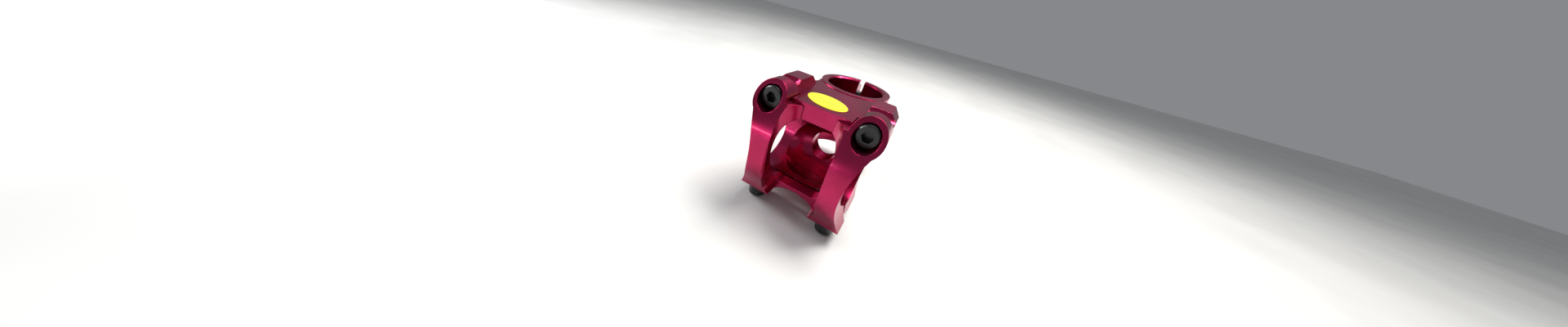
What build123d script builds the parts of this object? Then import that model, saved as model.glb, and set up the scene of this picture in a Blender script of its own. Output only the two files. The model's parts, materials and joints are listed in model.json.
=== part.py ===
from build123d import *
import os

os.makedirs("parts", exist_ok=True)

# Frame: origin on the steerer axis at bar-centre height, +Z up, -Y forward, X along the bar.
# Driving dimensions, mm
reach = 40.0
bar_r = 15.9
steerer_r = 14.3
stack_top = 21.5
stack_bottom = -19.0
ring_r = 17.8
rim_chamfer = 0.7
strip_top = 21.2
strip_half = 12.4
strip_front = -46.9
wing_top = 25.4
wing_inner = 15.0
groove_r = 3.6
groove_y = -38.8
groove_z = 26.3
groove_end = 17.6
clamp_half = 25.6
arm_inner = 12.8
gusset_y = -47.2
gusset_top = 19.8
window_r = 12.4
window_y = -57.5
bolt_x = 19.4
bolt_z = 19.6
boss_r = 6.7
head_r = 4.25
head_h = 5.0
shank_r = 2.5
hole_r = 2.55
washer_r = 4.5
washer_t = 1.0
bore_r = 4.9
upper_seat = -44.9
upper_seam = -39.6
lower_seam = -44.4
seam_gap = 1.1
foot_z = -23.0
lower_bolt_x = 18.4
lower_bolt_y = -49.5
pinch_y = 19.6
pinch_top = 12.4
pinch_bottom = -10.4
lug_r = 6.2
lug_half = 15.6
pocket_y = 33.0
pocket_z = -4.7
pocket_r = 13.4
pocket_half = 19.5
pocket_flat = 3.0
relief = 0.08
relief_half = 14.0
tongue_x = 18.3
tongue_z = -17.6
slot_w = 2.8
sides = (-1, 1)


# Body side profile: neck, upper wings behind the top seam, lower jaw behind the bottom seam
with BuildSketch(Plane.YZ) as body_side:
    with BuildLine():
        Polyline(
            (2, strip_top), (-17.5, strip_top), (-24, wing_top), (upper_seam, wing_top),
            (upper_seam, 6.0), (lower_seam + 0.4, -6.0), (lower_seam + 0.4, -20.4),
            (-38, -22.6), (-28, -22.6), (-14, stack_bottom), (2, stack_bottom),
            close=True,
        )
    make_face()

# Body front outline: flat-topped wings above, jaw below, scalloped low on the sides
with BuildSketch(Plane.XZ) as body_front:
    with Locations((0, 1.0)):
        Rectangle(2 * clamp_half, 2 * (wing_top - 1.0))
    top_corners = body_front.vertices().group_by(Axis.Y)[-1]
    chamfer(top_corners, 2.6)
    with Locations((66.6, -9), (-66.6, -9)):
        Circle(44.6, mode=Mode.SUBTRACT)

# Body plan outline: parallel clamp width, tapering back to the steerer ring
with BuildSketch(Plane.XY) as body_plan:
    with BuildLine():
        Polyline(
            (ring_r - 0.6, 2), (ring_r - 1.6, -12), (18.6, -20), (clamp_half + 1.2, -29),
            (clamp_half + 1.2, -50), (-clamp_half - 1.2, -50), (-clamp_half - 1.2, -29),
            (-18.6, -20), (-ring_r + 1.6, -12), (-ring_r + 0.6, 2),
            close=True,
        )
    make_face()

# Top strip outline in plan
with BuildSketch(Plane.XY.offset(strip_top)) as strip_plan:
    with Locations((0, strip_front)):
        Rectangle(2 * strip_half, 44, align=(Align.CENTER, Align.MIN))

# Half-round groove with a ball end, along the top seam on each side
groove_plane = Plane.XY.offset(groove_z)
with BuildPart() as grooves:
    for side in sides:
        with BuildSketch(groove_plane) as groove_half:
            with Locations((side * (groove_end + 10), groove_y)):
                Rectangle(20, groove_r, align=(Align.CENTER, Align.MIN))
            with Locations((side * groove_end, groove_y)):
                Circle(groove_r)
            with Locations((0, groove_y)):
                Rectangle(80, groove_r, align=(Align.CENTER, Align.MAX), mode=Mode.SUBTRACT)
        revolve(axis=Axis((0, groove_y, groove_z), (1, 0, 0)))

# Dished pocket behind the bar: a rounded drum
with BuildPart() as pocket:
    with BuildSketch(Plane.XZ.offset(pocket_y)):
        with Locations((-pocket_flat, pocket_z), (pocket_flat, pocket_z)):
            Ellipse(pocket_half - pocket_flat, pocket_r)
        with Locations((0, pocket_z)):
            Rectangle(2 * pocket_flat, 2 * pocket_r)
            with Locations((0, -pocket_r)):
                Rectangle(3 * pocket_half, 2 * pocket_r, mode=Mode.SUBTRACT)
    revolve(axis=Axis((0, -pocket_y, pocket_z), (1, 0, 0)))

# Side profile of the two pinch-bolt lugs, joined to the ring
with BuildSketch(Plane.YZ) as lug_side:
    with Locations((pinch_y / 2, pinch_top), (pinch_y / 2, pinch_bottom)):
        Rectangle(pinch_y, 2 * lug_r)
    with Locations((pinch_y, pinch_top), (pinch_y, pinch_bottom)):
        Circle(lug_r)
    with Locations((pinch_y / 2 - 2, 1)):
        Rectangle(pinch_y - 4, 16)

with BuildPart() as stem_body:
    extrude(body_side.sketch, amount=30, both=True)
    extrude(body_front.sketch, amount=60, both=True, mode=Mode.INTERSECT)
    extrude(body_plan.sketch, amount=40, both=True, mode=Mode.INTERSECT)
    # strip over the bar, flat on top
    extrude(strip_plan.sketch, amount=-8)
    with Locations((0, 0, strip_top)):
        Box(2 * wing_inner, 100, 12, align=(Align.CENTER, Align.CENTER, Align.MIN), mode=Mode.SUBTRACT)
    add(grooves.part, mode=Mode.SUBTRACT)
    # steerer ring, standing a little above the strip, and the rear lugs
    with Locations((0, 0, stack_bottom)):
        Cylinder(ring_r, stack_top - stack_bottom, align=(Align.CENTER, Align.CENTER, Align.MIN))
    extrude(lug_side.sketch, amount=lug_half, both=True)
    # bores
    with Locations((0, 0, stack_bottom)):
        Cylinder(steerer_r, 60, align=(Align.CENTER, Align.CENTER, Align.MIN), mode=Mode.SUBTRACT)
    with Locations((0, -reach, 0)):
        Cylinder(bar_r, 80, rotation=(0, 90, 0), mode=Mode.SUBTRACT)
    # chamfered top rim of the steerer bore
    with Locations((0, 0, stack_top)):
        Cone(steerer_r, steerer_r + rim_chamfer, rim_chamfer, align=(Align.CENTER, Align.CENTER, Align.MAX),
             mode=Mode.SUBTRACT)
    # relieved middle of the bar bore
    with Locations((0, -reach, 0)):
        Cylinder(bar_r + relief, 2 * relief_half, rotation=(0, 90, 0), mode=Mode.SUBTRACT)
    # dished pocket behind the bar and the round hole through its floor
    add(pocket.part, mode=Mode.SUBTRACT)
    with BuildSketch(Plane.XZ.offset(10)):
        with Locations((0, -6.0)):
            Circle(7.2)
    extrude(amount=16, mode=Mode.SUBTRACT)
    # rear slot
    with Locations((0, pinch_y, stack_bottom)):
        Box(slot_w, 20, 60, align=(Align.CENTER, Align.CENTER, Align.MIN), mode=Mode.SUBTRACT)
    # pinch-bolt holes
    for z in (pinch_top, pinch_bottom):
        with Locations((0, pinch_y, z)):
            Cylinder(hole_r, 60, rotation=(0, 90, 0), mode=Mode.SUBTRACT)
    # threaded holes for the upper faceplate bolts
    for side in sides:
        with BuildSketch(Plane.XZ.offset(-upper_seam)):
            with Locations((side * bolt_x, bolt_z)):
                Circle(hole_r)
        extrude(amount=-16, mode=Mode.SUBTRACT)
    # tongues that carry the lower bolts, under the bar and inside the feet
    for side in sides:
        with Locations((side * tongue_x, lower_seam + 1.0, tongue_z)):
            Box(6.6, 9.2, 3.8, align=(Align.CENTER, Align.MAX, Align.CENTER))
    with Locations((0, -reach, 0)):
        Cylinder(bar_r, 80, rotation=(0, 90, 0), mode=Mode.SUBTRACT)
    for side in sides:
        with BuildSketch(Plane.XY.offset(foot_z - 1)):
            with Locations((side * lower_bolt_x, lower_bolt_y)):
                Circle(hole_r)
        extrude(amount=20, mode=Mode.SUBTRACT)

stem_body.part.label = "stem_body"
export_step(stem_body.part, "parts/stem_body.step")


# Faceplate side profile: bulged front, flat foot, flat bosses against the seam
face_rear = upper_seam - seam_gap
foot_rear = lower_seam - seam_gap
with BuildSketch(Plane.YZ) as face_side:
    with BuildLine():
        Polyline(
            (-49.4, 24.0), (-47.6, 27.0), (face_rear, 27.0), (face_rear, 6.0),
            (foot_rear, -6.0), (foot_rear, foot_z), (-54.9, foot_z),
        )
        Spline(
            (-54.9, foot_z), (-56.6, -18.0), (-58.9, -12.5), (-60.0, -6.0), (-59.9, -1.0),
            (-59.2, 5.0), (-57.4, 11.0), (-54.1, 17.0), (-49.4, 24.0),
        )
    make_face()

# Faceplate front outline: two waisted arms with round bosses, open above, arched below
with BuildSketch(Plane.XZ) as face_front:
    with Locations((0, -1.5)):
        Rectangle(2 * clamp_half, 43)
    with Locations((64.9, -3), (-64.9, -3)):
        Circle(44.6, mode=Mode.SUBTRACT)
    with Locations((0, 20.0)):
        Rectangle(80, 30, align=(Align.CENTER, Align.MIN), mode=Mode.SUBTRACT)
    for side in sides:
        with Locations((side * bolt_x, bolt_z)):
            Circle(boss_r)
    with Locations((0, -8.0)):
        Rectangle(2 * arm_inner, 60, align=(Align.CENTER, Align.MIN), mode=Mode.SUBTRACT)
    with Locations((0, foot_z - 1.5)):
        Ellipse(10.8, 5.6, mode=Mode.SUBTRACT)

# Opening between the arms: its floor slopes down towards the front, with round corners
floor_slope = Plane(origin=(0, -47.35, -16.3), x_dir=(1, 0, 0), z_dir=(0, -0.927, -0.376))
with BuildSketch(floor_slope) as arm_opening:
    Rectangle(2 * arm_inner, 50, align=(Align.CENTER, Align.MIN))
    fillet(arm_opening.vertices().group_by(Axis.Y)[0], 5.5)

# Front recess of the cross bar: its sides sweep inwards to pointed toes at the feet
with BuildSketch(Plane.XZ.offset(49.2)) as bar_recess:
    with BuildLine():
        Polyline((0, -24), (9.6, -24), (9.6, -23))
        ThreePointArc((9.6, -23), (12.5, -19.4), (arm_inner, -15))
        Polyline((arm_inner, -15), (arm_inner, 30), (0, 30), (0, -24))
    make_face()
    mirror(about=Plane.YZ)

# Rounded gussets between the arms and the front of the strip
with BuildPart() as gussets:
    with BuildSketch(Plane.XY.offset(-12)):
        with Locations((0, gusset_y)):
            Rectangle(2 * arm_inner + 2, 12, align=(Align.CENTER, Align.MAX))
        with Locations((0, window_y)):
            Circle(window_r, mode=Mode.SUBTRACT)
            Rectangle(2 * window_r, 20, align=(Align.CENTER, Align.MAX), mode=Mode.SUBTRACT)
    extrude(amount=gusset_top + 12)
    extrude(face_side.sketch, amount=30, both=True, mode=Mode.INTERSECT)

with BuildPart() as faceplate:
    extrude(face_side.sketch, amount=30, both=True)
    extrude(face_front.sketch, amount=70, both=True, mode=Mode.INTERSECT)
    extrude(arm_opening.sketch, amount=30, both=True, mode=Mode.SUBTRACT)
    extrude(bar_recess.sketch, amount=20, mode=Mode.SUBTRACT)
    add(gussets.part)
    add(grooves.part, mode=Mode.SUBTRACT)
    with Locations((0, -reach, 0)):
        Cylinder(bar_r, 80, rotation=(0, 90, 0), mode=Mode.SUBTRACT)
    with Locations((0, -reach, 0)):
        Cylinder(bar_r + relief, 2 * relief_half, rotation=(0, 90, 0), mode=Mode.SUBTRACT)
    for side in sides:
        with BuildSketch(Plane.XZ.offset(-upper_seat)):
            with Locations((side * bolt_x, bolt_z)):
                Circle(bore_r)
        extrude(amount=30, mode=Mode.SUBTRACT)
        with BuildSketch(Plane.XZ.offset(30)):
            with Locations((side * bolt_x, bolt_z)):
                Circle(hole_r)
        extrude(amount=40, mode=Mode.SUBTRACT)
        # slot for the body's tongue and the hole for the lower bolt
        with Locations((side * tongue_x, -52.8, tongue_z)):
            Box(6.8, 20, 4.0, align=(Align.CENTER, Align.MIN, Align.CENTER), mode=Mode.SUBTRACT)
        with BuildSketch(Plane.XY.offset(foot_z - 1)):
            with Locations((side * lower_bolt_x, lower_bolt_y)):
                Circle(hole_r)
        extrude(amount=12, mode=Mode.SUBTRACT)

faceplate.part.label = "faceplate"
export_step(faceplate.part, "parts/faceplate.step")


# Socket-head bolt and washer, drawn on a plane whose normal points out of the head
def socket_bolt(seat, length):
    with BuildPart() as bolt:
        with BuildSketch(seat.offset(washer_t)):
            Circle(head_r)
        extrude(amount=head_h)
        top_edges = bolt.edges().filter_by(GeomType.CIRCLE).group_by(SortBy.RADIUS)[-1]
        chamfer(top_edges, 0.35)
        with BuildSketch(seat.offset(washer_t)):
            Circle(shank_r)
        extrude(amount=-length)
        with BuildSketch(seat.offset(washer_t + head_h)):
            RegularPolygon(2.31, 6)
        extrude(amount=-2.8, mode=Mode.SUBTRACT)
    return bolt.part


def flat_washer(seat):
    with BuildPart() as washer:
        with BuildSketch(seat):
            Circle(washer_r)
            Circle(hole_r, mode=Mode.SUBTRACT)
        extrude(amount=washer_t)
    return washer.part


# Faceplate bolts and washers: two from the front, two from below
for side_name, side in (("left", -1), ("right", 1)):
    seat = Plane(origin=(side * bolt_x, upper_seat, bolt_z), x_dir=(1, 0, 0), z_dir=(0, -1, 0))
    bolt = socket_bolt(seat, 18)
    bolt.label = "upper_" + side_name + "_bolt"
    export_step(bolt, "parts/upper_" + side_name + "_bolt.step")
    washer = flat_washer(seat)
    washer.label = "upper_" + side_name + "_washer"
    export_step(washer, "parts/upper_" + side_name + "_washer.step")
    seat = Plane(origin=(side * lower_bolt_x, lower_bolt_y, foot_z), x_dir=(1, 0, 0), z_dir=(0, 0, -1))
    bolt = socket_bolt(seat, 9.6)
    bolt.label = "lower_" + side_name + "_bolt"
    export_step(bolt, "parts/lower_" + side_name + "_bolt.step")
    washer = flat_washer(seat)
    washer.label = "lower_" + side_name + "_washer"
    export_step(washer, "parts/lower_" + side_name + "_washer.step")

# Pinch bolts across the rear slot, heads on opposite sides
for name, z, side in (("top", pinch_top, -1), ("bottom", pinch_bottom, 1)):
    seat = Plane(origin=(side * lug_half, pinch_y, z), x_dir=(0, 1, 0), z_dir=(side, 0, 0))
    bolt = socket_bolt(seat, 30)
    bolt.label = name + "_pinch_bolt"
    export_step(bolt, "parts/" + name + "_pinch_bolt.step")
    washer = flat_washer(seat)
    washer.label = name + "_pinch_washer"
    export_step(washer, "parts/" + name + "_pinch_washer.step")

# Oval label on the top strip
with BuildPart() as top_label:
    with BuildSketch(Plane.XY.offset(strip_top)):
        with Locations((-1.4, -37.2)):
            Ellipse(9.4, 6.6, rotation=-20)
    extrude(amount=0.15)
top_label.part.label = "top_label"
export_step(top_label.part, "parts/top_label.step")
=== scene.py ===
import bpy
import json
from math import radians, sin, cos
from mathutils import Vector, Matrix


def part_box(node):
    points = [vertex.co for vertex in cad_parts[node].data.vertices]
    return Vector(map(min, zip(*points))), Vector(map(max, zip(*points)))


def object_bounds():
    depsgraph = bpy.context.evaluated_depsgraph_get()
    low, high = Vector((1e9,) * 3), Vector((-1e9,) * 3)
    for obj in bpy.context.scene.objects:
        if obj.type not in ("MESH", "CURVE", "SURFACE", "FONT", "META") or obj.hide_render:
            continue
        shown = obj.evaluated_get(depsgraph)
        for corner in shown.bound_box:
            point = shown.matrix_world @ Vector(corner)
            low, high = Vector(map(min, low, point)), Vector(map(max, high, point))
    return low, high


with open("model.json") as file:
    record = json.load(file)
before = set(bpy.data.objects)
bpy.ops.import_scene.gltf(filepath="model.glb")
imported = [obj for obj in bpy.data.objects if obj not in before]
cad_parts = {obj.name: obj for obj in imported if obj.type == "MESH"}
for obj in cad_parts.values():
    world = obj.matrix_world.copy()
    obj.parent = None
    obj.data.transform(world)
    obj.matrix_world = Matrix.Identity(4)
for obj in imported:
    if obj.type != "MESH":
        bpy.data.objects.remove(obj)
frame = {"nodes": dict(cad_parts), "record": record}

cad_low, cad_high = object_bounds()


# --- Stem body and faceplate ---
# Billet aluminium, milled all over and anodised magenta. The dye lies under a clear oxide
# skin, so the metal shines through. The edges are softened in the shading only. Four
# socket bolts draw the faceplate onto the body.
class Field:
    """One node socket, so that a pattern is written as a plain expression."""

    def __init__(self, tree, socket):
        self.tree = tree
        self.socket = socket

    def node(self, kind, settings=None, inputs=None, output=0):
        made = self.tree.nodes.new(kind)
        for name, value in (settings or {}).items():
            setattr(made, name, value)
        for key, value in (inputs or {}).items():
            target = made.inputs[key]
            if isinstance(value, Field):
                self.tree.links.new(value.socket, target)
            else:
                target.default_value = value
        return Field(self.tree, made.outputs[output])

    def math(self, operation, *values):
        return self.node("ShaderNodeMath", {"operation": operation}, dict(enumerate(values)))

    def __add__(self, other):
        return self.math("ADD", self, other)

    __radd__ = __add__

    def __mul__(self, other):
        return self.math("MULTIPLY", self, other)

    __rmul__ = __mul__

    def __sub__(self, other):
        return self.math("SUBTRACT", self, other)

    def __rsub__(self, other):
        return self.math("SUBTRACT", other, self)

    def __truediv__(self, other):
        return self.math("DIVIDE", self, other)

    def band(self, low, high):
        values = {"Value": self, "From Min": low, "From Max": high}
        return self.node("ShaderNodeMapRange", {"interpolation_type": "SMOOTHSTEP"}, values)

    def mix(self, first, second):
        return self.node("ShaderNodeMix", {"data_type": "RGBA"}, {0: self, 6: first, 7: second}, 2)

    def noise(self, scale, detail=3.0):
        return self.node("ShaderNodeTexNoise", None, {"Vector": self, "Scale": scale, "Detail": detail})


def new_finish(name, constants):
    finish = bpy.data.materials.new(name)
    finish.use_nodes = True
    tree = finish.node_tree
    shader = tree.nodes["Principled BSDF"]
    for socket, value in constants.items():
        shader.inputs[socket].default_value = value
    place = Field(tree, tree.nodes.new("ShaderNodeTexCoord").outputs["Object"])
    return finish, place, shader


def feed(shader, links):
    for socket, field in links.items():
        field.tree.links.new(field.socket, shader.inputs[socket])


def dress(node, finish):
    slots = bpy.data.objects[node].data.materials
    slots.clear()
    slots.append(finish)


anodised, place, shader = new_finish(
    "anodised_magenta", {"Metallic": 1.0, "Coat Weight": 0.3, "Coat Roughness": 0.08, "Coat IOR": 1.5})
cloud = place.noise(70.0)
grain = place.noise(2400.0, 2.0)
dye = cloud.band(0.3, 0.7).mix((0.40, 0.012, 0.070, 1), (0.48, 0.018, 0.100, 1))
edge_radius = 0.0003
broken_edge = place.node("ShaderNodeBevel", {"samples": 6}, {"Radius": edge_radius})
skin = place.node("ShaderNodeBump", None, {"Height": grain, "Strength": 0.06, "Distance": 0.00003,
                                           "Normal": broken_edge})
feed(shader, {"Base Color": dye, "Roughness": 0.20 + cloud * 0.10 + grain * 0.04, "Normal": skin})
for node in ("stem_body", "faceplate"):
    dress(node, anodised)


# --- Bolts and washers ---
# Hardened steel socket screws with forged hexagon recesses, and the flat washers under
# their heads. They are blackened in a hot salt bath and left lightly oiled.
black_steel, place, shader = new_finish(
    "black_oxide", {"Metallic": 0.2, "Coat Weight": 0.35, "Coat Roughness": 0.1})
mottle = place.noise(900.0)
soot = mottle.band(0.35, 0.65).mix((0.003, 0.003, 0.004, 1), (0.008, 0.008, 0.009, 1))
pitting = place.node("ShaderNodeBump", None, {"Height": mottle, "Strength": 0.15, "Distance": 0.00004})
feed(shader, {"Base Color": soot, "Roughness": 0.30 + mottle * 0.16, "Normal": pitting})
for node in frame["nodes"]:
    if node.endswith("_bolt") or node.endswith("_washer"):
        dress(node, black_steel)


# --- Label ---
# Yellow film, die-cut to an oval and pressed onto the flat top of the strip. Its small
# print is only rows of dark green dashes.
label_low, label_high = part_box("top_label")
label_middle = (Vector(label_low) + Vector(label_high)) / 2
label_turn = radians(-20)
row_pitch = 0.0015
print_half = Vector((0.0052, 0.0036))
fade_across = 0.0004
fade_along = 0.0002
ink_strength = 0.8
film, place, shader = new_finish(
    "label_film", {"Roughness": 0.32, "Coat Weight": 0.5, "Coat Roughness": 0.1})
axes = place.node("ShaderNodeSeparateXYZ", None, {0: place})
across = Field(place.tree, axes.socket.node.outputs[0]) - label_middle.x
along = Field(place.tree, axes.socket.node.outputs[1]) - label_middle.y
run = across * cos(label_turn) + along * sin(label_turn)
rise = along * cos(label_turn) - across * sin(label_turn)
row = rise.math("FRACT", rise / row_pitch)
line = row.band(0.30, 0.42) * (1 - row.band(0.62, 0.74))
inside = (1 - run.math("ABSOLUTE", run).band(print_half.x - fade_across, print_half.x))
inside = inside * (1 - rise.math("ABSOLUTE", rise).band(print_half.y - fade_along, print_half.y))
dashes = place.noise(900.0, 0.0).band(0.40, 0.46)
tint = place.noise(300.0).band(0.2, 0.8).mix((0.80, 0.82, 0.012, 1), (0.88, 0.89, 0.03, 1))
inked = (line * inside * dashes * ink_strength).mix(tint, (0.16, 0.20, 0.03, 1))
feed(shader, {"Base Color": inked})
dress("top_label", film)


# --- Table and room ---
# A plain pale table under the stem and a grey room around it, with a soft lamp behind
# and above, a second to the left, and a narrow one low in front.
table_half = 1.5
table_gap = 0.0004
table_z = cad_low[2] - table_gap
table_mesh = bpy.data.meshes.new("table")
corners = [(x * table_half, y * table_half, table_z) for x, y in ((-1, -1), (1, -1), (1, 1), (-1, 1))]
table_mesh.from_pydata(corners, [], [(0, 1, 2, 3)])
table = bpy.data.objects.new("table", table_mesh)
bpy.context.scene.collection.objects.link(table)
pale_table, place, shader = new_finish("pale_table", {"Roughness": 0.45})
table_tone = place.noise(14.0).band(0.3, 0.7).mix((0.66, 0.66, 0.64, 1), (0.72, 0.72, 0.70, 1))
feed(shader, {"Base Color": table_tone})
table_mesh.materials.append(pale_table)
bar_centre = Vector(frame["record"]["mounts"][1]["pos_m"])


def soft_lamp(name, at, size, power, colour):
    lamp = bpy.data.lights.new(name, "AREA")
    lamp.shape = "RECTANGLE"
    lamp.size, lamp.size_y = size
    lamp.energy = power
    lamp.color = colour
    holder = bpy.data.objects.new(name, lamp)
    bpy.context.scene.collection.objects.link(holder)
    aim = bar_centre - Vector(at)
    holder.matrix_world = Matrix.Translation(at) @ aim.to_track_quat("-Z", "Y").to_matrix().to_4x4()


soft_lamp("behind_above", (0.12, 0.22, 0.55), (0.40, 0.25), 6.0, (1.0, 0.98, 0.96))
soft_lamp("left", (-0.50, -0.10, 0.30), (0.12, 0.40), 2.2, (0.96, 0.97, 1.0))
soft_lamp("low_front", (-0.42, -0.80, 0.06), (0.70, 0.018), 0.9, (0.94, 0.92, 1.0))
room = bpy.data.worlds.new("room")
room.use_nodes = True
room.node_tree.nodes["Background"].inputs["Color"].default_value = (0.80, 0.82, 0.86, 1)
room.node_tree.nodes["Background"].inputs["Strength"].default_value = 0.30
bpy.context.scene.world = room
bpy.context.scene.view_settings.view_transform = "Standard"


# --- Camera ---
# A close, wide view from the right of the clamp, tipped to the left, looking down over
# the faceplate to the steerer ring behind it.
camera_data = bpy.data.cameras.new("front_right_above")
camera_data.lens = 5.668
camera_data.sensor_width = 36.0
camera_data.clip_start = 0.005
camera = bpy.data.objects.new("front_right_above", camera_data)
bpy.context.scene.collection.objects.link(camera)
eye = bar_centre + Vector((0.02481, -0.0919, 0.0537))
camera.matrix_world = (
    Matrix.Translation(eye)
    @ Matrix.Rotation(radians(21.740), 4, "Z")
    @ Matrix.Rotation(radians(90.0 - 34.304), 4, "X")
    @ Matrix.Rotation(radians(14.444), 4, "Z")
)
bpy.context.scene.camera = camera
